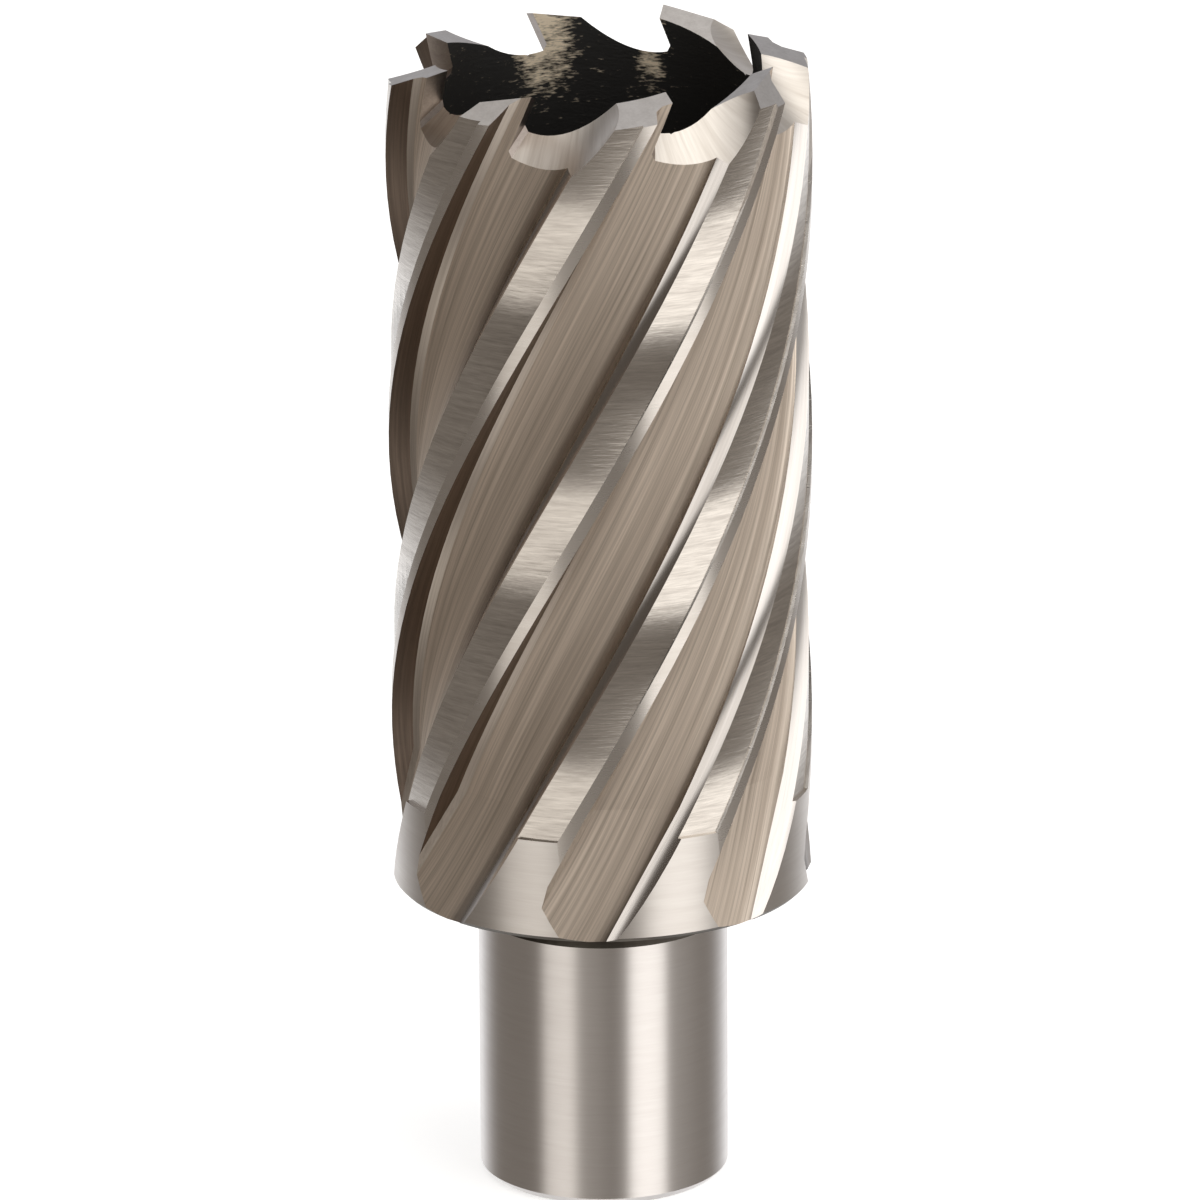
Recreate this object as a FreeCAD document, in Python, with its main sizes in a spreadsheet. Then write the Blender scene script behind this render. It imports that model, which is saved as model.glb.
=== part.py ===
"""Annular cutter: a one-piece hollow core drill with a plain shank, a collar,
eight helical flutes and eight ground teeth round an open bore.
Millimetres, +Z up, standing on the shank end with the axis on Z."""

import FreeCAD, Part
import Sketcher
import math
import os

doc = FreeCAD.newDocument("annular_cutter")

# Driving dimensions: alias, value in mm or degrees, and what it measures

DIMENSIONS = [
    ("cutting_diameter", 32.0, "over the margins and the collar"),
    ("bore_diameter", 24.5, "inside of the cup, the size of the slug"),
    ("overall_height", 88.85, "shank end to the ridge of a chisel tooth"),
    ("cup_depth", 51.4, "ridge of a chisel tooth to the cup floor"),
    ("cup_floor_bevel", 1.0, "foot of the bore"),
    ("shank_diameter", 19.05, "plain shank, 3/4 inch"),
    ("shank_length", 23.7, "shank end to the collar"),
    ("shank_chamfer", 0.6, "edge of the shank end"),
    ("neck_length", 2.75, "grinding undercut of the shank, below the collar"),
    ("neck_depth", 0.5, "undercut below the shank surface"),
    ("neck_taper", 0.95, "undercut's slanted lower end, along the axis"),
    ("collar_length", 7.9, "collar below the relieved lands"),
    ("collar_chamfer", 0.35, "lower edge of the collar"),
    ("pilot_diameter", 6.4, "hole through the shank for an ejector pin"),
    ("pilot_chamfer", 0.5, "mouth of the pilot hole"),
    ("clamp_flat_depth", 1.3, "clamping flats below the shank surface"),
    ("clamp_flat_length", 8.0, "clamping flats along the axis"),
    ("clamp_flat_height", 12.0, "shank end to the lower edge of a flat"),
    ("clamp_flat_spread", 90.0, "angle between the two flats"),
    ("flute_count", 8, "flutes and teeth, an even number"),
    ("flute_lead", 175.5, "height of one full turn, right hand"),
    ("flute_depth", 2.13, "cutting surface to the flute floor"),
    ("flute_width", 6.74, "wall foot to flank foot, along the floor"),
    ("flute_offset", 1.58, "wall foot behind the middle of the cut"),
    ("flute_wall_lean", 12.0, "wall away from square to the floor"),
    ("flute_flank_slope", 36.0, "flank above the floor"),
    ("flute_root", 0.45, "narrow facet between wall and floor, from their corner"),
    ("runout_height", 9.9, "collar foot to where the flutes stop turning"),
    ("runout_slant", 29.5, "straight run-out away from upright"),
    ("runout_rise", 0.17, "run-out, outward for each mm down"),
    ("margin_angle", 3.4, "margin beside the cutting edge, about the axis"),
    ("land_angle", 12.0, "relieved land, about the axis"),
    ("land_relief", 0.25, "land below the margin"),
    ("rake_angle", 5.6, "gullet face ahead of the cutting edge, about the axis"),
    ("gullet_lean", 23.5, "gullet face away from upright"),
    ("gullet_depth", 3.2, "tip of a flat tooth to the gullet floor, at the bore"),
    ("gullet_radius", 8.47, "rising floor behind a tooth"),
    ("gullet_offset", 0.7, "tip to the lowest line of the floor, at the bore"),
    ("gullet_root_rise", 0.6, "lowest line of the floor up to the foot of the face"),
    ("gullet_root_run", 0.86, "tip back to where the floor's arc begins"),
    ("gullet_drop", 1.06, "gullet, downward for each mm outward"),
    ("gullet_sweep", 0.453, "gullet, backward for each mm outward"),
    ("tooth_clearance", 11.0, "tooth tops fall away behind the edge"),
    ("flat_tooth_drop", 0.15, "tip of a flat tooth below a chisel ridge"),
    ("flat_tooth_slope", 13.5, "flat tooth, down to the outside"),
    ("chisel_ridge_diameter", 27.8, "ridge of a chisel tooth"),
    ("chisel_inner_slope", 20.0, "chisel tooth, down to the bore"),
    ("chisel_outer_slope", 37.0, "chisel tooth, down to the outside"),
    ("facing_angle", 23.8, "first flat tooth, from the front towards +X"),
    ("cut_overrun", 1.2, "how far a cut reaches past the surface it leaves"),
]

# Worked-out sizes: an alias and its formula in the sheet

WORKED_OUT = [
    ("cutting_radius", "cutting_diameter / 2"),
    ("bore_radius", "bore_diameter / 2"),
    ("shank_radius", "shank_diameter / 2"),
    ("pilot_radius", "pilot_diameter / 2"),
    ("ridge_radius", "chisel_ridge_diameter / 2"),
    ("clear_radius", "cutting_radius + cut_overrun"),
    ("neck_radius", "shank_radius - neck_depth"),
    ("neck_foot", "shank_length - neck_length"),
    ("relief_radius", "cutting_radius - land_relief"),
    ("floor_radius", "cutting_radius - flute_depth"),
    ("blank_height", "overall_height + cut_overrun"),
    ("cup_floor", "overall_height - cup_depth"),
    ("land_foot", "shank_length + collar_length"),
    ("flute_foot", "shank_length + runout_height"),
    ("flat_tip", "overall_height - flat_tooth_drop"),
    ("turn_rate", "360 / flute_lead"),
    ("tooth_pitch", "360 / flute_count"),
    ("top_cut_reach", "bore_radius * cos(tooth_pitch)"),
    ("overrun_angle", "cut_overrun / cutting_radius * 180 / pi"),
    ("cut_reach", "clear_radius - floor_radius"),
    ("edge_offset", "flute_offset + flute_depth * tan(flute_wall_lean)"),
    ("edge_angle", "asin(edge_offset / cutting_radius) / 1 deg"),
    ("flute_turn", "edge_angle - rake_angle - (flat_tip - flute_foot) * turn_rate"),
    ("land_turn", "flute_turn - (flute_foot - land_foot) * turn_rate"),
    ("land_front", "land_turn - edge_angle - margin_angle"),
    ("land_back", "land_front - land_angle - overrun_angle"),
    ("gullet_x", "bore_radius * gullet_sweep"),
    ("gullet_tip", "flat_tip + bore_radius * gullet_drop"),
    ("gullet_centre", "gullet_tip - gullet_depth + gullet_radius"),
    ("gullet_top", "gullet_centre + 2 * cut_overrun"),
    ("top_cut_height", "blank_height + clear_radius / 2"),
]

sheet = doc.addObject("Spreadsheet::Sheet", "size")
for row, (alias, number, meaning) in enumerate(DIMENSIONS, start=1):
    sheet.set("A%d" % row, alias)
    sheet.set("B%d" % row, str(number))
    sheet.set("C%d" % row, meaning)
    sheet.setAlias("B%d" % row, alias)
doc.recompute()
for row, (alias, formula) in enumerate(WORKED_OUT, start=len(DIMENSIONS) + 2):
    sheet.set("A%d" % row, alias)
    sheet.set("B%d" % row, "=" + formula)
    sheet.setAlias("B%d" % row, alias)
    doc.recompute()

body = doc.addObject("PartDesign::Body", "cutter_body")
body.Label = "annular_cutter"


def origin(role):
    for feature in body.Origin.OriginFeatures:
        if feature.Role == role:
            return feature
    raise ValueError(role)


def value(formula):
    return float(sheet.evalExpression(formula))


# Sketches

ABOUT_Y = FreeCAD.Vector(0, 1, 0)
ABOUT_Z = FreeCAD.Vector(0, 0, 1)


def sketch_on(role, name, turn=None, about=ABOUT_Z, height=None):
    """A sketch on an origin plane, turned and raised by formulas."""
    sketch = body.newObject("Sketcher::SketchObject", name)
    sketch.AttachmentSupport = [(origin(role), "")]
    sketch.MapMode = "FlatFace"
    if turn:
        turned = FreeCAD.Rotation(about, value(turn))
        sketch.AttachmentOffset = FreeCAD.Placement(FreeCAD.Vector(), turned)
        sketch.setExpression(".AttachmentOffset.Rotation.Angle", turn)
    if height:
        sketch.setExpression(".AttachmentOffset.Base.z", height)
    return sketch


def spot(place):
    """The point that a pair of formulas gives."""
    return FreeCAD.Vector(value(place[0]), value(place[1]), 0)


def hold(sketch, rule, formula, name):
    """Adds a rule whose value is bound to a formula."""
    index = sketch.addConstraint(rule)
    sketch.renameConstraint(index, name)
    sketch.setExpression("Constraints." + name, formula)


def hold_point(sketch, edge, end, place, name):
    """Holds one end of an edge where a pair of formulas gives it."""
    for kind, formula in zip(("DistanceX", "DistanceY"), place):
        rule = Sketcher.Constraint(kind, -1, 1, edge, end, value(formula))
        hold(sketch, rule, formula, name + kind[-1])


def hold_radius(sketch, edge, formula, name):
    hold(sketch, Sketcher.Constraint("Radius", edge, value(formula)), formula, name)


def draw_line(sketch, start, end):
    return sketch.addGeometry(Part.LineSegment(start, end), False)


def draw_arc(sketch, centre, start, end):
    """A counter-clockwise arc about a centre."""
    first = math.atan2(start.y - centre.y, start.x - centre.x)
    last = math.atan2(end.y - centre.y, end.x - centre.x)
    circle = Part.Circle(centre, ABOUT_Z, start.sub(centre).Length)
    return sketch.addGeometry(Part.ArcOfCircle(circle, first, last), False)


def join(sketch, kind, first, second, first_end=2, second_start=1):
    """Ties the end of one edge to the start of the next."""
    rule = Sketcher.Constraint(kind, first, first_end, second, second_start)
    sketch.addConstraint(rule)


def draw_outline(sketch, corners):
    """A closed chain of lines through corners given by formulas."""
    points = [spot(corner) for corner in corners]
    points.append(points[0])
    edges = [draw_line(sketch, *ends) for ends in zip(points, points[1:])]
    for first, second in zip(edges, edges[1:] + edges[:1]):
        join(sketch, "Coincident", first, second)
    for number, (edge, corner) in enumerate(zip(edges, corners)):
        hold_point(sketch, edge, 1, corner, "corner%d" % number)


# Features

def finished(feature):
    body.Tip = feature
    doc.recompute()
    return feature


def pocket(name, sketch, length, direction=None, both_ways=False):
    cut = body.newObject("PartDesign::Pocket", name)
    cut.Profile = sketch
    cut.Refine = False
    cut.Reversed = direction is None
    if direction:
        cut.UseCustomVector = True
        cut.AlongSketchNormal = False
        cut.Direction = FreeCAD.Vector(*map(value, direction))
        for axis, formula in zip("xyz", direction):
            cut.setExpression("Direction." + axis, formula)
    if both_ways:
        cut.SideType = "Symmetric"
    cut.setExpression("Length", length)
    return finished(cut)


def screw_cut(name, sketch, height):
    """A section swept up the right-hand screw of the flutes."""
    cut = body.newObject("PartDesign::SubtractiveHelix", name)
    cut.Profile = sketch
    cut.ReferenceAxis = (sketch, ["N_Axis"])
    cut.Mode = "pitch-height-angle"
    cut.Refine = False
    cut.setExpression("Pitch", "size.flute_lead")
    cut.setExpression("Height", height)
    return finished(cut)


def repeat(name, originals, count, angle="360"):
    """Copies of cuts about the axis, spread over an angle."""
    pattern = body.newObject("PartDesign::PolarPattern", name)
    pattern.Originals = originals
    pattern.Axis = (origin("Z_Axis"), [""])
    pattern.Refine = False
    pattern.setExpression("Angle", angle)
    pattern.setExpression("Occurrences", count)
    return finished(pattern)


# The blank: shank, collar and cup as one turned shape

blank_section = sketch_on("XZ_Plane", "blank_section")
draw_outline(blank_section, [
    ("size.pilot_radius + size.pilot_chamfer", "0"),
    ("size.shank_radius - size.shank_chamfer", "0"),
    ("size.shank_radius", "size.shank_chamfer"),
    ("size.shank_radius", "size.neck_foot"),
    ("size.neck_radius", "size.neck_foot + size.neck_taper"),
    ("size.neck_radius", "size.shank_length"),
    ("size.cutting_radius - size.collar_chamfer", "size.shank_length"),
    ("size.cutting_radius", "size.shank_length + size.collar_chamfer"),
    ("size.cutting_radius", "size.blank_height"),
    ("size.bore_radius", "size.blank_height"),
    ("size.bore_radius", "size.cup_floor + size.cup_floor_bevel"),
    ("size.bore_radius - size.cup_floor_bevel", "size.cup_floor"),
    ("size.pilot_radius", "size.cup_floor"),
    ("size.pilot_radius", "size.pilot_chamfer"),
])
doc.recompute()
blank = body.newObject("PartDesign::Revolution", "blank")
blank.Profile = blank_section
blank.ReferenceAxis = (blank_section, ["V_Axis"])
blank.Angle = 360
finished(blank)

# Two clamping flats at the back of the shank

flat_section = sketch_on(
    "XY_Plane", "clamp_flat_section",
    turn="180 - size.facing_angle - size.clamp_flat_spread / 2",
    height="size.clamp_flat_height")
draw_outline(flat_section, [
    ("-size.shank_radius", "size.clamp_flat_depth - size.shank_radius"),
    ("-size.shank_radius", "-size.clear_radius"),
    ("size.shank_radius", "-size.clear_radius"),
    ("size.shank_radius", "size.clamp_flat_depth - size.shank_radius"),
])
doc.recompute()
clamp_flat = pocket("clamp_flat", flat_section, "size.clamp_flat_length")
repeat("clamp_flats", [clamp_flat], "2", "size.clamp_flat_spread")

# One flute: its section is swept up the screw, and below that it runs out
# in a straight cut that rises through the collar

flute_section = sketch_on("XY_Plane", "flute_section",
                          turn="size.flute_turn", height="size.flute_foot")
draw_outline(flute_section, [
    ("-size.flute_offset - size.cut_reach * tan(size.flute_wall_lean)",
     "-size.clear_radius"),
    ("-size.flute_offset - size.flute_root * sin(size.flute_wall_lean)",
     "-size.floor_radius - size.flute_root * cos(size.flute_wall_lean)"),
    ("size.flute_root - size.flute_offset", "-size.floor_radius"),
    ("size.flute_width - size.flute_offset", "-size.floor_radius"),
    ("size.flute_width - size.flute_offset + size.cut_reach / tan(size.flute_flank_slope)",
     "-size.clear_radius"),
])
doc.recompute()
flute = screw_cut("flute", flute_section,
                  "size.blank_height - size.flute_foot + size.cut_overrun")
runout = pocket(
    "flute_runout", flute_section,
    "(size.runout_height + size.cut_overrun)"
    " * sqrt(1 + tan(size.runout_slant) ^ 2 + size.runout_rise ^ 2)",
    ("size.runout_rise * sin(size.flute_turn)"
     " - tan(size.runout_slant) * cos(size.flute_turn)",
     "-size.runout_rise * cos(size.flute_turn)"
     " - tan(size.runout_slant) * sin(size.flute_turn)",
     "-1"))

# Behind each margin the land is relieved, down to the top of the collar

RELIEF_FRONT = ("size.relief_radius * sin(size.land_front)",
                "-size.relief_radius * cos(size.land_front)")
RELIEF_BACK = ("size.relief_radius * sin(size.land_back)",
               "-size.relief_radius * cos(size.land_back)")
CLEAR_FRONT = ("size.clear_radius * sin(size.land_front)",
               "-size.clear_radius * cos(size.land_front)")
CLEAR_BACK = ("size.clear_radius * sin(size.land_back)",
              "-size.clear_radius * cos(size.land_back)")

relief_section = sketch_on("XY_Plane", "relief_section", height="size.land_foot")
land = draw_arc(relief_section, FreeCAD.Vector(), spot(RELIEF_BACK), spot(RELIEF_FRONT))
ledge = draw_line(relief_section, spot(RELIEF_FRONT), spot(CLEAR_FRONT))
outside = draw_line(relief_section, spot(CLEAR_FRONT), spot(CLEAR_BACK))
behind = draw_line(relief_section, spot(CLEAR_BACK), spot(RELIEF_BACK))
join(relief_section, "Coincident", land, -1, 3, 1)
join(relief_section, "Coincident", land, ledge)
join(relief_section, "Coincident", ledge, outside)
join(relief_section, "Coincident", outside, behind)
join(relief_section, "Coincident", behind, land)
for edge in (ledge, behind):
    relief_section.addConstraint(Sketcher.Constraint("PointOnObject", -1, 1, edge))
hold_radius(relief_section, land, "size.relief_radius", "land_radius")
hold_point(relief_section, ledge, 2, CLEAR_FRONT, "clear_front")
hold_point(relief_section, behind, 1, CLEAR_BACK, "clear_back")
doc.recompute()
relief = screw_cut("land_relief", relief_section,
                   "size.blank_height - size.land_foot + size.cut_overrun")
repeat("flutes", [flute, runout, relief], "size.flute_count")

# The gullet ahead of each tooth: its section on the axis is carried outward,
# downward and backward, and meets the tooth tip at the bore

FACE_TOP = ("size.gullet_x + (size.gullet_top - size.gullet_tip) * tan(size.gullet_lean)",
            "size.gullet_top")
FACE_FOOT = ("size.gullet_x - (size.gullet_depth - size.gullet_root_rise)"
             " * tan(size.gullet_lean)",
             "size.gullet_tip - size.gullet_depth + size.gullet_root_rise")
CENTRE = ("size.gullet_x + size.gullet_offset", "size.gullet_centre")
FLOOR_START = ("size.gullet_x - size.gullet_root_run", "size.gullet_centre"
               " - sqrt(size.gullet_radius ^ 2"
               " - (size.gullet_root_run + size.gullet_offset) ^ 2)")
FLOOR_END = ("size.gullet_x + size.gullet_offset + size.gullet_radius",
             "size.gullet_centre")
SIDE_TOP = (FLOOR_END[0], "size.gullet_top")

gullet_section = sketch_on("XZ_Plane", "gullet_section")
face = draw_line(gullet_section, spot(FACE_TOP), spot(FACE_FOOT))
root = draw_line(gullet_section, spot(FACE_FOOT), spot(FLOOR_START))
floor = draw_arc(gullet_section, spot(CENTRE), spot(FLOOR_START), spot(FLOOR_END))
side = draw_line(gullet_section, spot(FLOOR_END), spot(SIDE_TOP))
top = draw_line(gullet_section, spot(SIDE_TOP), spot(FACE_TOP))
join(gullet_section, "Coincident", face, root)
join(gullet_section, "Coincident", root, floor)
join(gullet_section, "Tangent", floor, side)
join(gullet_section, "Coincident", side, top)
join(gullet_section, "Coincident", top, face)
gullet_section.addConstraint(Sketcher.Constraint("Vertical", side))
gullet_section.addConstraint(Sketcher.Constraint("Horizontal", top))
hold_point(gullet_section, face, 1, FACE_TOP, "face_top")
hold_point(gullet_section, face, 2, FACE_FOOT, "face_foot")
hold_point(gullet_section, floor, 1, FLOOR_START, "floor_start")
hold_point(gullet_section, floor, 3, CENTRE, "centre")
doc.recompute()
gullet = pocket(
    "gullet", gullet_section,
    "size.clear_radius * sqrt(1 + size.gullet_sweep ^ 2 + size.gullet_drop ^ 2)",
    ("-size.gullet_sweep", "-1", "-size.gullet_drop"))
repeat("gullets", [gullet], "size.flute_count")

# Tooth tops, flat and chisel by turns, ground falling away behind the edge

flat_top_section = sketch_on("YZ_Plane", "flat_top_section")
draw_outline(flat_top_section, [
    ("-size.top_cut_reach", "size.top_cut_height"),
    ("-size.top_cut_reach", "size.flat_tip"
     " + (size.bore_radius - size.top_cut_reach) * tan(size.flat_tooth_slope)"),
    ("-size.clear_radius",
     "size.flat_tip - (size.clear_radius - size.bore_radius) * tan(size.flat_tooth_slope)"),
    ("-size.clear_radius", "size.top_cut_height"),
])
doc.recompute()
flat_top = pocket(
    "flat_top", flat_top_section, "size.clear_radius",
    ("-cos(size.tooth_clearance)", "0", "-sin(size.tooth_clearance)"), both_ways=True)
repeat("flat_tops", [flat_top], "size.flute_count / 2")

chisel_top_section = sketch_on("YZ_Plane", "chisel_top_section",
                               turn="size.tooth_pitch", about=ABOUT_Y)
draw_outline(chisel_top_section, [
    ("-size.top_cut_reach", "size.top_cut_height"),
    ("-size.top_cut_reach", "size.overall_height"
     " - (size.ridge_radius - size.top_cut_reach) * tan(size.chisel_inner_slope)"),
    ("-size.ridge_radius", "size.overall_height"),
    ("-size.clear_radius", "size.overall_height"
     " - (size.clear_radius - size.ridge_radius) * tan(size.chisel_outer_slope)"),
    ("-size.clear_radius", "size.top_cut_height"),
])
doc.recompute()
chisel_top = pocket(
    "chisel_top", chisel_top_section, "size.clear_radius",
    ("-cos(size.tooth_clearance) * cos(size.tooth_pitch)",
     "-cos(size.tooth_clearance) * sin(size.tooth_pitch)",
     "-sin(size.tooth_clearance)"), both_ways=True)
repeat("chisel_tops", [chisel_top], "size.flute_count / 2")

# The finished cutter, turned so that its first flat tooth faces the front right

body.setExpression(".Placement.Rotation.Angle", "size.facing_angle")
doc.recompute()

failed = [feature.Name for feature in doc.Objects
          if {"Invalid", "Error"} & set(feature.State)]
if failed:
    raise RuntimeError("failed features: " + ", ".join(failed))
shape = body.Shape
if shape.isNull() or not shape.isValid() or len(shape.Solids) != 1:
    raise RuntimeError("the cutter is not one valid solid")

os.makedirs("parts", exist_ok=True)
shape.exportStep("parts/" + body.Label + ".step")
print("annular_cutter: %.0f mm3, %d faces" % (shape.Volume, len(shape.Faces)))
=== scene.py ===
import math

import bmesh
import bpy
import numpy as np
from mathutils import Matrix


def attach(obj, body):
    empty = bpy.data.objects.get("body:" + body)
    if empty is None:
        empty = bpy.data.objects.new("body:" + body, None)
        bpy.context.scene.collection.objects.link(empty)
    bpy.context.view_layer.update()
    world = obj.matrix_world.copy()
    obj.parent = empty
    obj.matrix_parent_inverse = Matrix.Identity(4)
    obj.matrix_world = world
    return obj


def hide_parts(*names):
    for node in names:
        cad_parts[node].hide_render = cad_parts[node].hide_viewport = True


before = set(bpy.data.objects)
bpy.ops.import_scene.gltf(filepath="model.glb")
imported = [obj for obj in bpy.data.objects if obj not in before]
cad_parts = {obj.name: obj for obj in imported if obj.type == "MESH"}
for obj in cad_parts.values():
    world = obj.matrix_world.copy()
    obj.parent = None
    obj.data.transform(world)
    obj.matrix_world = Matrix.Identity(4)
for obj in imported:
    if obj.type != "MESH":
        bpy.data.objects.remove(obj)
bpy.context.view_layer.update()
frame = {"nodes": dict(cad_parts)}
print("frame loaded:", ", ".join(frame["nodes"]))


# the cutter, in metres and degrees; angles about the axis run from the front towards +X
cutter = {
    "boreRadius": 0.01225,
    "pilotRadius": 0.0032,
    "shankRadius": 0.009525,
    "cuttingRadius": 0.016,
    "neckFoot": 0.02095,         # heights from the shank's end
    "collarFoot": 0.0237,
    "landFoot": 0.0316,
    "cupFloor": 0.03745,
    "collarChamfer": 0.0004,     # reaches less than this above the collar's foot
    "landRadius": 0.0157,        # lands lie outside this radius
    "ledgeRadius": 0.0156,       # and so do the steps beside them
    "toothFoot": 0.08,           # up to here a facet by the lands is a step
    "cupFloorRise": 0.0012,      # the floor's cone stays within this
    "slack": 0.00002,            # how far a corner may lie off the surface that it is on
    "mergeWithin": 0.000002,     # the triangles' loose corners
    "sharpFrom": 18,             # an edge is sharp from this angle
}
flute = {
    "count": 8,
    "lead": 0.1755,        # height of one turn
    "foot": 0.0336,        # below this height it runs out straight
    "phase": 2.447,        # middle of a flute's cut at that height
    "floorRadius": 0.01387,
    "offset": 0.00158,     # the wall's foot lies this far before the middle
    "width": 0.00674,      # of the floor
    "wallLean": 12.0,
    "flankSlope": 36.0,
    "root": 0.00045,       # the narrow facet between wall and floor
    "slant": 29.5,         # the run-out's way across,
    "rise": 0.17,          # and outward, for each metre down
    "reach": 0.0036,       # wall and flank go out this far
    "floorBend": 14.0,     # the floor curves up a little towards the flank
    "flankBend": 66.0,     # and the flank goes on curving up to the land
    "flankLength": 0.00362,
    "curveFrom": 0.0037,   # from here across, the floor's last stretch curves up on a radius
    "curveRadius": 0.0022,
    "edgeRoom": 10.0,      # degrees before the middle of the cut, clear of its edge
}
land = {"behind": 16.7, "backOff": 6.5}      # its middle behind the middle of the cut, and its tilt
gullet = {
    "facing": 23.8,        # the first one's tooth
    "tip": 0.0887,         # height of that tooth's tip, at the bore
    "depth": 0.0032,
    "offset": 0.0007,
    "radius": 0.00847,
    "drop": 1.06,          # downward and backward, for each metre outward
    "sweep": 0.453,
}
turnRate = 2 * math.pi / flute["lead"]


# finishes of the steel: one dictionary each. "lines" says how its marks run: around the axis, along
# the helix, along a flute's floor, or fanned out from the axis.
finishes = {
    "groundLand": {
        "colour": (0.81, 0.755, 0.69), "dark": (0.59, 0.54, 0.49),
        "roughness": 0.2, "anisotropic": 0.8,
        "lines": "around", "lineSize": (260, 260, 2600), "fineSize": (700, 700, 9000),
        "bump": 0.00003, "roughSpread": 0.08,
    },
    "groundMargin": {
        "colour": (0.76, 0.71, 0.66), "dark": (0.7, 0.645, 0.59),
        "roughness": 0.28, "anisotropic": 0.5,
        "lines": "around", "lineSize": (120, 120, 1500), "fineSize": (500, 500, 7000),
        "bump": 0.000003, "roughSpread": 0.05,
    },
    "groundCollar": {
        "colour": (0.8, 0.755, 0.71), "dark": (0.75, 0.7, 0.655),
        "roughness": 0.36, "anisotropic": 0.6,
        "lines": "around", "lineSize": (100, 100, 1500), "fineSize": (400, 400, 7000),
        "bump": 0.000002, "roughSpread": 0.04,
    },
    # painted shade: the neck's groove, the collar's underside and its foot chamfer are coloured near
    # black, standing in for the shadow under the collar's rim
    "neckInPaintedShade": {
        "colour": (0.2, 0.185, 0.16), "dark": (0.14, 0.12, 0.1),
        "roughness": 0.4, "anisotropic": 0.4,
        "lines": "around", "lineSize": (100, 100, 2500), "fineSize": (400, 400, 9000),
        "bump": 0.000006, "roughSpread": 0.06,
    },
    "brushedFloor": {
        "colour": (0.83, 0.72, 0.615), "dark": (0.52, 0.44, 0.365),
        "roughness": 0.6, "anisotropic": 0.8,
        "lines": "floor", "lineSize": (3400, 3400, 36), "fineSize": (11000, 11000, 110),
        "bump": 0.000016, "roughSpread": 0.1, "smoothing": 250.0,
    },
    # painted shade: the flutes' walls face away from the light and are coloured dark brown, standing
    # in for their shade
    "wallInPaintedShade": {
        "colour": (0.26, 0.2, 0.16), "dark": (0.16, 0.125, 0.1),
        "roughness": 0.34, "anisotropic": 0.5,
        "lines": "along", "lineSize": (2200, 2200, 40), "fineSize": (7000, 7000, 120),
        "bump": 0.000006, "roughSpread": 0.08,
    },
    "brushedRoot": {
        "colour": (0.66, 0.59, 0.52), "dark": (0.48, 0.42, 0.36),
        "roughness": 0.4, "anisotropic": 0.5,
        "lines": "along", "lineSize": (2600, 2600, 30), "fineSize": (9000, 9000, 90),
        "bump": 0.000006, "roughSpread": 0.08,
    },
    "polishedFlank": {
        "colour": (0.91, 0.865, 0.83), "dark": (0.8, 0.75, 0.71),
        "roughness": 0.2, "anisotropic": 0.4,
        "lines": "along", "lineSize": (1500, 1500, 25), "fineSize": (6000, 6000, 90),
        "bump": 0.000003, "roughSpread": 0.06,
    },
    "groundGullet": {
        "colour": (0.84, 0.785, 0.72), "dark": (0.66, 0.6, 0.535),
        "roughness": 0.36, "anisotropic": 0.5,
        "lines": "fan", "lineSize": (1500, 60, 60), "fineSize": (6000, 240, 240),
        "bump": 0.000005, "roughSpread": 0.07,
    },
    # painted shade: the cutting faces are a darker copy of the tooth tops' finish, standing in for
    # their shade down in the gullets
    "rakeInPaintedShade": {
        "colour": (0.46, 0.4, 0.36), "dark": (0.34, 0.29, 0.26),
        "roughness": 0.36, "anisotropic": 0.3,
        "lines": "around", "lineSize": (900, 900, 900), "fineSize": (5200, 5200, 5200),
        "bump": 0.000004, "roughSpread": 0.06,
    },
    "groundTip": {
        "colour": (0.64, 0.61, 0.585), "dark": (0.54, 0.51, 0.485),
        "roughness": 0.38, "anisotropic": 0.3,
        "lines": "around", "lineSize": (900, 900, 900), "fineSize": (5200, 5200, 5200),
        "bump": 0.000004, "roughSpread": 0.06,
    },
    "groundShank": {
        "colour": (0.84, 0.8, 0.77), "dark": (0.8, 0.755, 0.725),
        "roughness": 0.3, "anisotropic": 0.6,
        "lines": "around", "lineSize": (160, 160, 2400), "fineSize": (500, 500, 9000),
        "bump": 0.000001, "roughSpread": 0.03,
    },
}

# what the finishes share: broad and fine lines added up, and how they tint and smooth the steel
lineMix = {
    "broadDetail": 3.0, "fineDetail": 2.0, "noiseRoughness": 0.6,
    "broadShare": 0.6, "fineShare": 0.4,
    "fineSeed": 3.7,                       # on top of the broad lines' seed
    "darkAt": 0.36, "lightAt": 0.62,       # values of the lines with the dark and the light colour
    "roughAt": 0.3, "smoothAt": 0.7,
    "firstSeed": 2.0, "seedStep": 1.7,     # from one finish to the next
}


def addNode(tree, kind, **inputs):
    node = tree.nodes.new(kind)
    for name, value in inputs.items():
        node.inputs[name.replace("_", " ")].default_value = value
    return node


def mathNode(tree, operation, first, second=None):
    node = tree.nodes.new("ShaderNodeMath")
    node.operation = operation
    for socket, value in zip(node.inputs, (first, second)):
        if isinstance(value, bpy.types.NodeSocket):
            tree.links.new(value, socket)
        elif value is not None:
            socket.default_value = value
    return node.outputs[0]


def emptyMaterial(name):
    material = bpy.data.materials.new(name)
    material.use_nodes = True
    material.node_tree.nodes.clear()
    return material


def straightened(tree, place):
    # object coordinates with the flutes' twist taken out, so that lines follow the helix
    height = addNode(tree, "ShaderNodeSeparateXYZ")
    tree.links.new(place, height.inputs[0])
    turn = mathNode(tree, "MULTIPLY", height.outputs["Z"], -turnRate)
    rotate = tree.nodes.new("ShaderNodeVectorRotate")
    rotate.rotation_type = "Z_AXIS"
    tree.links.new(place, rotate.inputs["Vector"])
    tree.links.new(turn, rotate.inputs["Angle"])
    return rotate.outputs[0]


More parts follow.
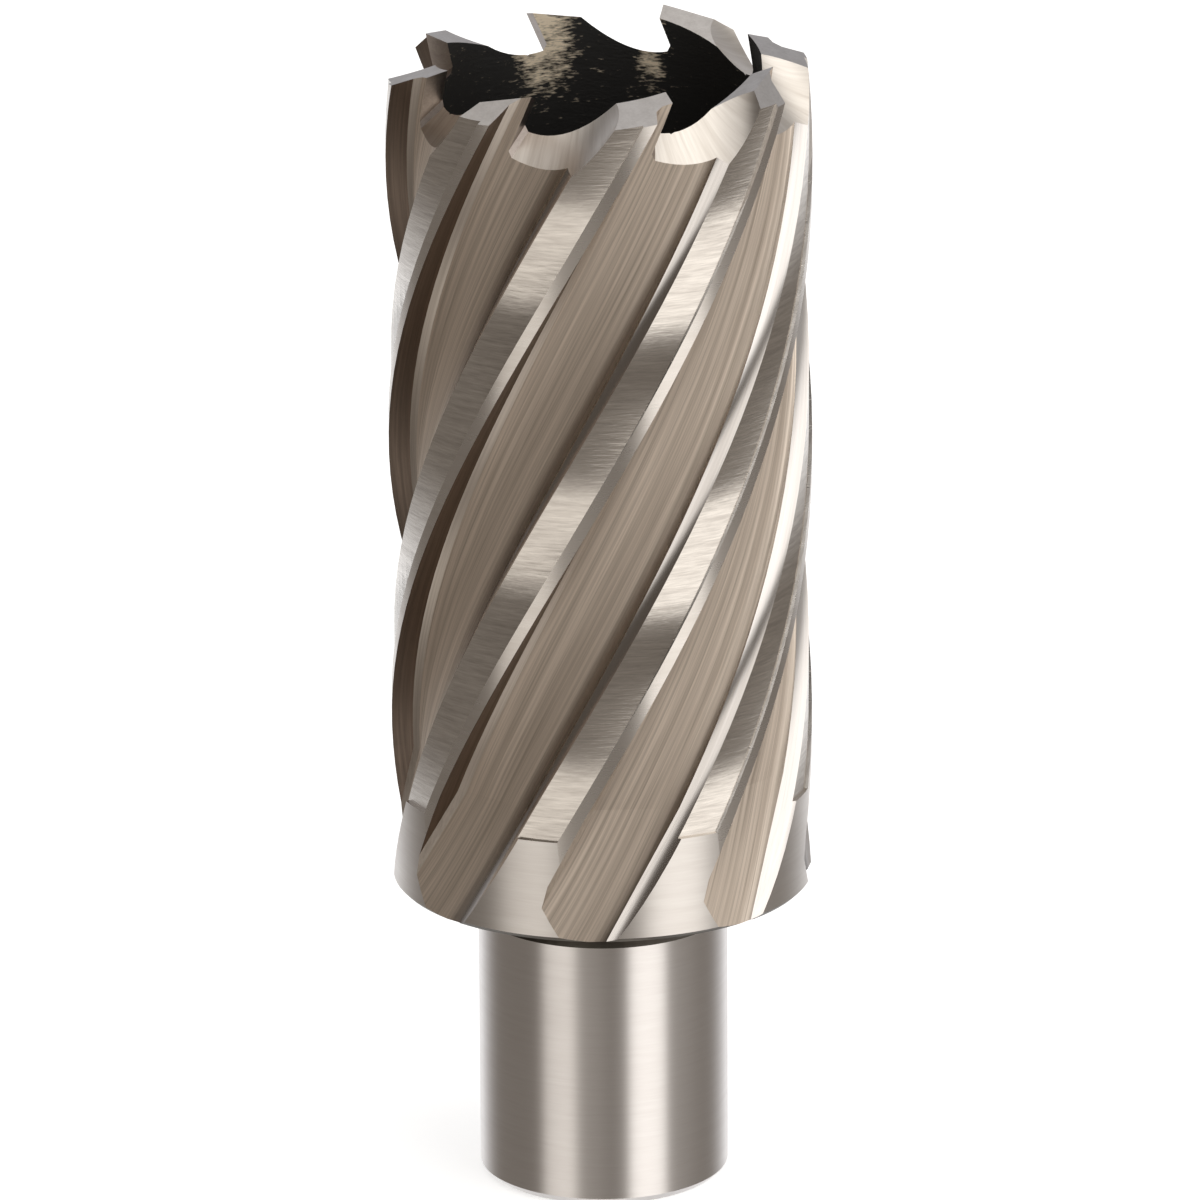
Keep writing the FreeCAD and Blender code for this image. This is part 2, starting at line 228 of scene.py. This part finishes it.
def aboutAxis(tree, place):
    # the angle about the axis from the front towards +X, the distance from the axis and the height
    parts = addNode(tree, "ShaderNodeSeparateXYZ")
    tree.links.new(place, parts.inputs[0])
    forward = mathNode(tree, "MULTIPLY", parts.outputs["Y"], -1.0)
    compass = mathNode(tree, "ARCTAN2", parts.outputs["X"], forward)
    squares = mathNode(tree, "ADD", mathNode(tree, "POWER", parts.outputs["X"], 2.0),
                       mathNode(tree, "POWER", parts.outputs["Y"], 2.0))
    return compass, mathNode(tree, "SQRT", squares), parts.outputs["Z"]


def fanned(tree, place):
    # lines that fan out from the axis, as a wheel leaves them in a gullet
    compass, radius, height = aboutAxis(tree, place)
    fan = addNode(tree, "ShaderNodeCombineXYZ")
    tree.links.new(mathNode(tree, "MULTIPLY", compass, cutter["boreRadius"]), fan.inputs["X"])
    tree.links.new(radius, fan.inputs["Y"])
    tree.links.new(height, fan.inputs["Z"])
    return fan.outputs[0]


def evened(tree, place):
    # straightened lines without the distance from the axis, so that they follow a rising floor too
    _, radius, _ = aboutAxis(tree, place)
    share = mathNode(tree, "DIVIDE", cutter["boreRadius"], radius)
    shares = addNode(tree, "ShaderNodeCombineXYZ", Z=1.0)
    tree.links.new(share, shares.inputs["X"])
    tree.links.new(share, shares.inputs["Y"])
    scaled = tree.nodes.new("ShaderNodeVectorMath")
    scaled.operation = "MULTIPLY"
    tree.links.new(straightened(tree, place), scaled.inputs[0])
    tree.links.new(shares.outputs[0], scaled.inputs[1])
    return scaled.outputs[0]


def intoCurve(tree, place):
    # how far into the floor's curved last stretch each point lies
    compass, radius, height = aboutAxis(tree, place)
    pitch = 2 * math.pi / flute["count"]
    start = math.radians(flute["phase"] - flute["edgeRoom"]) - turnRate * flute["foot"]
    turned = mathNode(tree, "SUBTRACT", mathNode(tree, "SUBTRACT", compass, start),
                      mathNode(tree, "MULTIPLY", height, turnRate))
    local = mathNode(tree, "SUBTRACT", mathNode(tree, "FLOORED_MODULO", turned, pitch),
                     math.radians(flute["edgeRoom"]))
    across = mathNode(tree, "MULTIPLY", radius, mathNode(tree, "SINE", local))
    return mathNode(tree, "MAXIMUM", mathNode(tree, "SUBTRACT", across, flute["curveFrom"]), 0.0)


def helixDirection(tree, place):
    # the way a flute runs at each point
    parts = addNode(tree, "ShaderNodeSeparateXYZ")
    tree.links.new(place, parts.inputs[0])
    back = mathNode(tree, "MULTIPLY", parts.outputs["Y"], -turnRate)
    side = mathNode(tree, "MULTIPLY", parts.outputs["X"], turnRate)
    way = addNode(tree, "ShaderNodeCombineXYZ", Z=1.0)
    tree.links.new(back, way.inputs["X"])
    tree.links.new(side, way.inputs["Y"])
    return way.outputs[0]


def lineNoise(tree, place, size, detail, seed):
    stretch = addNode(tree, "ShaderNodeMapping", Scale=size)
    tree.links.new(place, stretch.inputs["Vector"])
    noise = addNode(tree, "ShaderNodeTexNoise", Scale=1.0, Detail=detail,
                    Roughness=lineMix["noiseRoughness"])
    noise.noise_dimensions = "4D"
    noise.inputs["W"].default_value = seed
    tree.links.new(stretch.outputs[0], noise.inputs["Vector"])
    return noise.outputs["Fac"]


def shareSum(tree, first, firstShare, second, secondShare):
    return mathNode(tree, "ADD", mathNode(tree, "MULTIPLY", first, firstShare),
                    mathNode(tree, "MULTIPLY", second, secondShare))


def twoColours(tree, value, low, high):
    # low and high are each a value and its colour
    ramp = addNode(tree, "ShaderNodeValToRGB")
    for element, (position, colour) in zip(ramp.color_ramp.elements, (low, high)):
        element.position = position
        element.color = (*colour, 1.0)
    tree.links.new(value, ramp.inputs["Fac"])
    return ramp.outputs["Color"]


def lineRoughness(tree, lines, finish):
    half = finish["roughSpread"] / 2
    spread = addNode(tree, "ShaderNodeMapRange")
    spread.inputs["From Min"].default_value = lineMix["roughAt"]
    spread.inputs["From Max"].default_value = lineMix["smoothAt"]
    spread.inputs["To Min"].default_value = finish["roughness"] + half
    spread.inputs["To Max"].default_value = finish["roughness"] - half
    tree.links.new(lines, spread.inputs["Value"])
    return spread.outputs[0]


def surfaceOutput(tree, shader):
    output = addNode(tree, "ShaderNodeOutputMaterial")
    tree.links.new(shader.outputs[0], output.inputs["Surface"])


def steelMaterial(name, finish, seed):
    material = emptyMaterial(name)
    tree = material.node_tree
    place = addNode(tree, "ShaderNodeTexCoord").outputs["Object"]
    along = finish["lines"] in ("along", "floor")
    patterns = {"along": straightened, "floor": evened, "fan": fanned}
    pattern = patterns[finish["lines"]](tree, place) if finish["lines"] in patterns else place
    broad = lineNoise(tree, pattern, finish["lineSize"], lineMix["broadDetail"], seed)
    fine = lineNoise(tree, pattern, finish["fineSize"], lineMix["fineDetail"],
                     seed + lineMix["fineSeed"])
    lines = shareSum(tree, broad, lineMix["broadShare"], fine, lineMix["fineShare"])
    colour = twoColours(tree, lines, (lineMix["darkAt"], finish["dark"]),
                        (lineMix["lightAt"], finish["colour"]))
    roughness = lineRoughness(tree, lines, finish)

    relief = mathNode(tree, "MULTIPLY", lines, finish["bump"])
    if "smoothing" in finish:
        # towards the flank the floor curves up and gets smoother
        beyond = intoCurve(tree, place)
        rise = mathNode(tree, "DIVIDE", mathNode(tree, "POWER", beyond, 2.0),
                        2 * flute["curveRadius"])
        relief = mathNode(tree, "ADD", relief, rise)
        roughness = mathNode(tree, "SUBTRACT", roughness,
                             mathNode(tree, "MULTIPLY", beyond, finish["smoothing"]))
    bump = addNode(tree, "ShaderNodeBump", Strength=1.0, Distance=1.0)
    tree.links.new(relief, bump.inputs["Height"])

    steel = addNode(tree, "ShaderNodeBsdfPrincipled", Metallic=1.0,
                    Anisotropic=finish["anisotropic"])
    tree.links.new(colour, steel.inputs["Base Color"])
    tree.links.new(roughness, steel.inputs["Roughness"])
    tree.links.new(bump.outputs[0], steel.inputs["Normal"])
    if along:
        steel.inputs["Anisotropic Rotation"].default_value = 0.25      # a quarter turn
        tree.links.new(helixDirection(tree, place), steel.inputs["Tangent"])
    else:
        vertical = addNode(tree, "ShaderNodeCombineXYZ", Z=1.0)
        tree.links.new(vertical.outputs[0], steel.inputs["Tangent"])
    surfaceOutput(tree, steel)
    return material


def angleMask(tree, compass, panel):
    # 1 within an angle about a direction and 0 beside it, with a soft edge
    turned = mathNode(tree, "SUBTRACT", compass, math.radians(panel["at"]))
    wrapped = mathNode(tree, "ARCCOSINE", mathNode(tree, "COSINE", turned))
    edge = tree.nodes.new("ShaderNodeMapRange")
    edge.interpolation_type = "SMOOTHSTEP"
    edge.inputs["From Min"].default_value = math.radians(panel["width"] + panel["edge"]) / 2
    edge.inputs["From Max"].default_value = math.radians(panel["width"] - panel["edge"]) / 2
    tree.links.new(wrapped, edge.inputs["Value"])
    return edge.outputs[0]


def heightMask(tree, upward, band):
    # 0 below a band of heights and 1 above it
    rise = tree.nodes.new("ShaderNodeMapRange")
    rise.interpolation_type = "SMOOTHSTEP"
    rise.inputs["From Min"].default_value = band["from"]
    rise.inputs["From Max"].default_value = band["to"]
    tree.links.new(upward, rise.inputs["Value"])
    return rise.outputs[0]


boreScale = {
    "black": (0.012, 0.011, 0.01), "bareAndGlint": (0.86, 0.73, 0.55), "roughness": 0.55, "bump": 0.00006,
    "patchSize": (700, 700, 1900), "patchDetail": 5.0, "patchSeed": 1.3, "patchShare": 0.5,
    "grainSize": (1500, 1500, 6500), "grainDetail": 3.0, "grainSeed": 5.1, "grainShare": 0.5,
    "blackAt": 0.6, "bareAndGlintAt": 0.76,
    # painted glint: two bright stripes on the bore's back wall, standing in for light glinting in
    # from the mouth
    "paintedGlint": {
        "left": {"at": -160, "width": 20, "edge": 16},
        "right": {"at": 161, "width": 9, "edge": 12},
    },
    "paintedGlintShare": 0.24,
    "mouth": {"from": 0.0795, "to": 0.086},      # heights between which the painted glint sets in
}


def boreMaterial(name, finish):
    # black hardening scale mottled with bare metal, and two stripes of painted glint near the mouth
    # where the light comes in
    material = emptyMaterial(name)
    tree = material.node_tree
    place = addNode(tree, "ShaderNodeTexCoord").outputs["Object"]
    patches = lineNoise(tree, place, finish["patchSize"], finish["patchDetail"],
                        finish["patchSeed"])
    grain = lineNoise(tree, place, finish["grainSize"], finish["grainDetail"],
                      finish["grainSeed"])
    mottled = shareSum(tree, patches, finish["patchShare"], grain, finish["grainShare"])
    compass, _, height = aboutAxis(tree, place)
    mouth = heightMask(tree, height, finish["mouth"])
    # the scale's own mottling, lightened towards the bright colour in the two stripes of painted
    # glint
    paintedGlint = mottled
    for stripe in finish["paintedGlint"].values():
        share = mathNode(tree, "MULTIPLY", angleMask(tree, compass, stripe), mouth)
        paintedGlint = mathNode(tree, "ADD", paintedGlint, mathNode(tree, "MULTIPLY", share, finish["paintedGlintShare"]))
    colour = twoColours(tree, paintedGlint, (finish["blackAt"], finish["black"]),
                        (finish["bareAndGlintAt"], finish["bareAndGlint"]))
    bump = addNode(tree, "ShaderNodeBump", Strength=1.0, Distance=finish["bump"])
    tree.links.new(mottled, bump.inputs["Height"])
    scale = addNode(tree, "ShaderNodeBsdfPrincipled", Metallic=0.0, Roughness=finish["roughness"])
    tree.links.new(colour, scale.inputs["Base Color"])
    tree.links.new(bump.outputs[0], scale.inputs["Normal"])
    surfaceOutput(tree, scale)
    return material


# surfaces of the cutter, and the finish of each
surfaceFinish = {
    "other": "groundTip", "shank": "groundShank", "neck": "neckInPaintedShade", "collar": "groundCollar",
    "margin": "groundMargin", "land": "groundLand", "floor": "brushedFloor", "root": "brushedRoot",
    "wall": "wallInPaintedShade", "flank": "polishedFlank", "gullet": "groundGullet", "rake": "rakeInPaintedShade",
    "top": "groundTip", "bore": "blackBore",
}
surfaces = list(surfaceFinish)

# cosines that tell the surfaces apart
sorting = {
    "agrees": 0.9,      # a face and the true surface look the same way
    "radial": 0.95,     # a face looks straight outward or inward
    "inward": -0.6,     # a face looks inward at all
    "steep": 0.7,       # a step's side looks upward less than this
    "top": 0.9,         # a tooth's top looks upward more than this
    "rake": 0.45,       # and its cutting face less than this
}
upright = np.array([0, 0, 1.0])
shortest = 1e-12        # keeps a vector of no length from dividing by zero


def unitVectors(vectors):
    return vectors / np.maximum(np.linalg.norm(vectors, axis=-1, keepdims=True), shortest)


def fluteSection():
    # the cut's outline as lines: along the floor from the middle of the cut, and outward
    lean = math.radians(flute["wallLean"])
    slope = math.radians(flute["flankSlope"])
    wallFoot = np.array([-flute["offset"], flute["floorRadius"]])
    rootTop = wallFoot + flute["root"] * np.array([-math.sin(lean), math.cos(lean)])
    rootEnd = wallFoot + np.array([flute["root"], 0.0])
    flankFoot = wallFoot + np.array([flute["width"], 0.0])
    wallEnd = wallFoot + flute["reach"] * np.array([-math.tan(lean), 1.0])
    flankEnd = flankFoot + flute["reach"] * np.array([1 / math.tan(slope), 1.0])
    return {
        "wall": (wallEnd, rootTop), "root": (rootTop, rootEnd),
        "floor": (rootEnd, flankFoot), "flank": (flankFoot, flankEnd),
    }


def bentAngle(name, along):
    # how far floor and flank have curved up at a distance along each
    low = math.radians(flute["floorBend"])
    high = math.radians(flute["flankBend"])
    if name == "floor":
        return low * np.clip(along / (flute["width"] - flute["root"]), 0, 1)
    if name == "flank":
        return low + (high - low) * np.clip(along / flute["flankLength"], 0, 1)
    return None


def sortFlutes(corners, facing, kind, shading):
    # a face belongs to a side of a flute when all its corners lie on it; its normals are the screw's
    slack = cutter["slack"]
    above = corners[:, :, 2] - flute["foot"]
    helical = (above.mean(axis=1) > 0)[:, None] & np.ones_like(above, bool)
    slant = math.tan(math.radians(flute["slant"]))
    for number in range(flute["count"]):
        angle = math.radians(flute["phase"] + 360 / flute["count"] * number) + np.where(
            helical, turnRate * above, 0.0)
        still = np.zeros_like(angle)
        across = np.stack([np.cos(angle), np.sin(angle), still], axis=-1)
        outward = np.stack([np.sin(angle), -np.cos(angle), still], axis=-1)
        drop = np.where(helical, 0.0, -above)
        u = (corners * across).sum(axis=-1) + slant * drop
        v = (corners * outward).sum(axis=-1) - flute["rise"] * drop
        turning = turnRate * (v[..., None] * across - u[..., None] * outward) + upright
        straight = flute["rise"] * outward - slant * across - upright
        way = np.where(helical[..., None], turning, straight)
        for name, (start, end) in fluteSection().items():
            line = unitVectors(end - start)
            along = (u - start[0]) * line[0] + (v - start[1]) * line[1]
            off = abs((u - start[0]) * line[1] - (v - start[1]) * line[0])
            length = np.linalg.norm(end - start)
            near = (along > -slack) & (along < length + slack) & (off < slack)
            bend = bentAngle(name, along)
            tangent = line[0] * across + line[1] * outward
            if bend is not None:
                tangent = np.cos(bend)[..., None] * across + np.sin(bend)[..., None] * outward
            true = unitVectors(np.cross(tangent, way))
            match = (true.mean(axis=1) * facing).sum(axis=-1)
            hit = near.all(axis=1) & (abs(match) > sorting["agrees"])
            kind[hit] = surfaces.index(name)
            shading[hit] = (true * np.sign(match)[:, None, None])[hit]


def shadeLands(corners, kind, shading):
    # a land is ground nearly flat across, so it catches the light by its height along the screw
    on = kind == surfaces.index("land")
    points = corners[on]
    middle = (math.radians(flute["phase"] - land["behind"])
              + turnRate * (points[..., 2] - flute["foot"]))
    pitch = 2 * math.pi / flute["count"]
    middle += pitch * np.round((np.arctan2(points[..., 0], -points[..., 1]) - middle) / pitch)
    still = np.zeros_like(middle)
    across = np.stack([np.cos(middle), np.sin(middle), still], axis=-1)
    lift = turnRate * (points * across).sum(axis=-1)
    middle -= math.radians(land["backOff"])
    shading[on] = unitVectors(np.stack([np.sin(middle), -np.cos(middle), lift], axis=-1))


def sortGullets(corners, facing, kind, shading):
    # the rising floor of each gullet, an arc carried outward, down and back
    slack = cutter["slack"]
    centreX = cutter["boreRadius"] * gullet["sweep"] + gullet["offset"]
    centreZ = (gullet["tip"] + cutter["boreRadius"] * gullet["drop"]
               - gullet["depth"] + gullet["radius"])
    for number in range(flute["count"]):
        angle = math.radians(gullet["facing"] + 360 / flute["count"] * number)
        side = np.array([math.cos(angle), math.sin(angle), 0.0])
        back = np.array([-math.sin(angle), math.cos(angle), 0.0])
        x = corners @ side - gullet["sweep"] * (corners @ back) - centreX
        z = corners[:, :, 2] - gullet["drop"] * (corners @ back) - centreZ
        slope = -gullet["sweep"] * x - gullet["drop"] * z
        true = unitVectors(x[..., None] * side + slope[..., None] * back
                           + z[..., None] * upright)
        true *= np.sign((true.mean(axis=1) * facing).sum(axis=-1))[:, None, None]
        agrees = (true.mean(axis=1) * facing).sum(axis=-1) > sorting["agrees"]
        near = (abs(np.hypot(x, z) - gullet["radius"]) < slack).all(axis=1)
        on = near & agrees & (kind == 0)
        kind[on] = surfaces.index("gullet")
        shading[on] = true[on]


def sortTurned(corners, facing, kind, shading):
    # what the lathe and the cylindrical grinder left: by height and distance from the axis
    slack = cutter["slack"]
    radius = np.hypot(corners[:, :, 0], corners[:, :, 1])
    z = corners[:, :, 2]
    radial = corners * np.array([1.0, 1.0, 0.0])
    true = unitVectors(radial)
    turn = (true.mean(axis=1) * facing).sum(axis=-1)
    turned = (np.ptp(radius, axis=1) < slack) & (abs(turn) > sorting["radial"])
    shading[turned] = (true * np.sign(turn)[:, None, None])[turned]

    middle, height = radius.mean(axis=1), z.mean(axis=1)
    low, high = z.min(axis=1), z.max(axis=1)
    within = middle < cutter["shankRadius"] + slack
    kind[high < cutter["collarFoot"] + cutter["collarChamfer"]] = surfaces.index("neck")
    kind[within & (high < cutter["collarFoot"] + cutter["collarChamfer"])
         & (low < cutter["collarFoot"] - slack)] = surfaces.index("shank")
    kind[within & (high < cutter["collarFoot"] + slack)
         & (low > cutter["neckFoot"] - slack)] = surfaces.index("neck")

    onEdge = turned & (abs(middle - cutter["cuttingRadius"]) < slack) & (kind == 0)
    kind[onEdge & (height < cutter["landFoot"])] = surfaces.index("collar")
    kind[onEdge & (height >= cutter["landFoot"])] = surfaces.index("margin")
    kind[turned & (middle > cutter["landRadius"]) & (kind == 0)] = surfaces.index("land")

    inward = turn < sorting["inward"]
    inBore = inward & (middle < cutter["boreRadius"] + slack) & (height > cutter["cupFloor"])
    onCupFloor = ((height < cutter["cupFloor"] + cutter["cupFloorRise"])
                  & (height > cutter["landFoot"])
                  & (radius.max(axis=1) < cutter["boreRadius"] + slack))
    inPilotHole = inward & (middle < cutter["pilotRadius"] + slack)
    kind[inBore | onCupFloor | inPilotHole] = surfaces.index("bore")

    ledge = (middle > cutter["ledgeRadius"]) & (kind == 0) & (height < cutter["toothFoot"])
    kind[ledge] = surfaces.index("margin")
    step = ledge & (abs(facing[:, 2]) < sorting["steep"])
    shading[step] = true[step]


def sortTeeth(facing, kind):
    # what is left is ground on the teeth: tops look up, and the cutting faces sideways
    rest = kind == 0
    kind[rest & (facing[:, 2] > sorting["top"])] = surfaces.index("top")
    kind[rest & (facing[:, 2] <= sorting["rake"])] = surfaces.index("rake")


def mergedCopy(node, name):
    mesh = bpy.data.meshes.new(name)
    work = bmesh.new()
    work.from_mesh(node.data)
    bmesh.ops.remove_doubles(work, verts=work.verts, dist=cutter["mergeWithin"])
    work.to_mesh(mesh)
    work.free()
    copy = bpy.data.objects.new(name, mesh)
    bpy.context.scene.collection.objects.link(copy)
    return copy


node = frame["nodes"]["annular_cutter"]
body = mergedCopy(node, "cutterBody")
mesh = body.data
print("merged copy:", len(mesh.vertices), "points,", len(mesh.polygons), "faces")

faceCount = len(mesh.polygons)
places = np.zeros(len(mesh.vertices) * 3)
owners = np.zeros(len(mesh.loops), np.int32)
facing = np.zeros(faceCount * 3)
mesh.vertices.foreach_get("co", places)
mesh.loops.foreach_get("vertex_index", owners)
mesh.polygons.foreach_get("normal", facing)
corners = places.reshape(-1, 3)[owners].reshape(faceCount, 3, 3)
facing = facing.reshape(-1, 3)
kind = np.zeros(faceCount, int)
shading = np.zeros_like(corners)      # the true surface's normal at each corner, where it is known
sortFlutes(corners, facing, kind, shading)
sortTurned(corners, facing, kind, shading)
sortGullets(corners, facing, kind, shading)
sortTeeth(facing, kind)
shadeLands(corners, kind, shading)
for name in surfaces:
    print("surface", name, int((kind == surfaces.index(name)).sum()))

mesh.materials.clear()
steels = {}
for number, (name, finish) in enumerate(finishes.items()):
    seed = lineMix["firstSeed"] + lineMix["seedStep"] * number
    steels[name] = steelMaterial(name, finish, seed)
steels["blackBore"] = boreMaterial("blackBore", boreScale)
slotNames = list(steels)
for name in slotNames:
    mesh.materials.append(steels[name])
slotOfKind = np.array([slotNames.index(surfaceFinish[name]) for name in surfaces])
mesh.polygons.foreach_set("material_index", slotOfKind[kind].astype(np.int32))
mesh.polygons.foreach_set("use_smooth", np.ones(faceCount, bool))
mesh.set_sharp_from_angle(angle=math.radians(cutter["sharpFrom"]))
known = shading.any(axis=-1)[..., None]
plain = np.repeat(facing[:, None, :], 3, axis=1)
mesh.normals_split_custom_set(np.where(known, shading, plain).reshape(-1, 3).tolist())
mesh.update()
print("normals follow the screw on", int(known.all(axis=1).sum()), "faces")

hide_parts("annular_cutter")
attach(body, "root")
print("cutter finished")


# the studio's white floor: it glows a little, so that all but the cutter's shadow is white
studioGround = {"half": 1.5, "grey": (0.8, 0.8, 0.8), "glow": 0.62}
half = studioGround["half"]
floorMesh = bpy.data.meshes.new("studioFloor")
floorMesh.from_pydata([(-half, -half, 0), (half, -half, 0), (half, half, 0), (-half, half, 0)],
                      [], [(0, 1, 2, 3)])
studioFloor = bpy.data.objects.new("studioFloor", floorMesh)
bpy.context.scene.collection.objects.link(studioFloor)
floorMaterial = emptyMaterial("whiteFloor")
tree = floorMaterial.node_tree
paint = addNode(tree, "ShaderNodeBsdfDiffuse", Color=(*studioGround["grey"], 1.0))
glow = addNode(tree, "ShaderNodeEmission", Color=(1.0, 1.0, 1.0, 1.0),
               Strength=studioGround["glow"])
both = addNode(tree, "ShaderNodeAddShader")
tree.links.new(paint.outputs[0], both.inputs[0])
tree.links.new(glow.outputs[0], both.inputs[1])
surfaceOutput(tree, both)
floorMesh.materials.append(floorMaterial)
studioFloor.visible_glossy = False
print("floor laid")


def mixColours(tree, factor, first, second):
    # each colour is a plain value or another node's output
    mix = tree.nodes.new("ShaderNodeMix")
    mix.data_type = "RGBA"
    tree.links.new(factor, mix.inputs["Factor"])
    for socket, colour in ((mix.inputs["A"], first), (mix.inputs["B"], second)):
        if isinstance(colour, bpy.types.NodeSocket):
            tree.links.new(colour, socket)
        else:
            socket.default_value = (*colour, 1.0)
    return mix.outputs["Result"]


def ringColour(tree, compass, side):
    colour = side["dark"]
    for panel in side["panels"].values():
        colour = mixColours(tree, angleMask(tree, compass, panel), colour, panel["light"])
    return colour


# what the steel sees: soft boxes and white cards on the bright table's side and up in the dark
# room, and a pale ceiling; compass degrees run from the front towards +X
strength = {"studio": 1.0, "backdrop": 1.0}
ceiling = {
    "from": 0.64, "to": 0.86,
    "dark": (0.86, 0.84, 0.82),
    "panels": {"rightHalf": {"at": 40, "width": 130, "edge": 70, "light": (1.5, 1.48, 1.44)}},
}
horizon = {"from": -0.2, "to": 0.02}
tableSide = {
    "dark": (0.205, 0.186, 0.168),
    "panels": {
        "rightSoftBox": {"at": 42, "width": 36, "edge": 6, "light": (1.26, 1.235, 1.2)},
        "leftCard": {"at": -42, "width": 32, "edge": 10, "light": (0.9, 0.865, 0.82)},
        "backWall": {"at": 180, "width": 68, "edge": 66, "light": (1.3, 1.32, 1.36)},
    },
}
roomSide = {
    "dark": (0.075, 0.064, 0.054),
    "panels": {
        "rightSoftBox": {"at": 57, "width": 70, "edge": 14, "light": (1.3, 1.28, 1.25)},
        "leftCard": {"at": -20, "width": 42, "edge": 16, "light": (0.95, 0.92, 0.88)},
        "rightWall": {"at": 118, "width": 60, "edge": 50, "light": (0.36, 0.35, 0.34)},
        "backWall": {"at": 180, "width": 96, "edge": 60, "light": (0.46, 0.46, 0.48)},
    },
}
# where the steel mirrors the white backdrop itself, below the horizon
behind = {"at": 180, "width": 40, "edge": 30}

world = bpy.data.worlds.new("studio")
bpy.context.scene.world = world
world.use_nodes = True
tree = world.node_tree
tree.nodes.clear()
direction = addNode(tree, "ShaderNodeTexCoord").outputs["Generated"]
compass, _, upward = aboutAxis(tree, direction)
overHorizon = heightMask(tree, upward, horizon)
around = mixColours(tree, overHorizon,
                    ringColour(tree, compass, tableSide), ringColour(tree, compass, roomSide))
seen = mixColours(tree, heightMask(tree, upward, ceiling), around,
                  ringColour(tree, compass, ceiling))
studioLight = addNode(tree, "ShaderNodeBackground", Strength=strength["studio"])
tree.links.new(seen, studioLight.inputs["Color"])
backdrop = addNode(tree, "ShaderNodeBackground", Color=(1.0, 1.0, 1.0, 1.0),
                   Strength=strength["backdrop"])
path = tree.nodes.new("ShaderNodeLightPath")
mirrored = mathNode(tree, "MAXIMUM", path.outputs["Is Glossy Ray"],
                    path.outputs["Is Transmission Ray"])
sector = mathNode(tree, "MULTIPLY", angleMask(tree, compass, behind),
                  mathNode(tree, "SUBTRACT", 1.0, overHorizon))
shown = mathNode(tree, "MAXIMUM", path.outputs["Is Camera Ray"],
                 mathNode(tree, "MULTIPLY", mirrored, sector))
choose = tree.nodes.new("ShaderNodeMixShader")
tree.links.new(shown, choose.inputs["Fac"])
tree.links.new(studioLight.outputs[0], choose.inputs[1])
tree.links.new(backdrop.outputs[0], choose.inputs[2])
output = addNode(tree, "ShaderNodeOutputWorld")
tree.links.new(choose.outputs[0], output.inputs["Surface"])
print("studio lit")


# the camera, fitted to the photograph's frame
view = {
    "place": (-0.0001, -0.8, 0.30843),
    "pitch": 0.3174,                   # radians downward
    "roll": -0.0054,
    "focalShare": 11095.4 / 1200,      # focal length over the frame's width
    "sensor": 36.0,
}
cameraData = bpy.data.cameras.new("camera")
cameraData.sensor_width = view["sensor"]
cameraData.lens = view["focalShare"] * view["sensor"]
camera = bpy.data.objects.new("camera", cameraData)
bpy.context.scene.collection.objects.link(camera)
camera.matrix_world = (Matrix.Translation(view["place"])
                       @ Matrix.Rotation(math.pi / 2 - view["pitch"], 4, "X")
                       @ Matrix.Rotation(view["roll"], 4, "Z"))
bpy.context.scene.camera = camera
bpy.context.scene.view_settings.view_transform = "Standard"
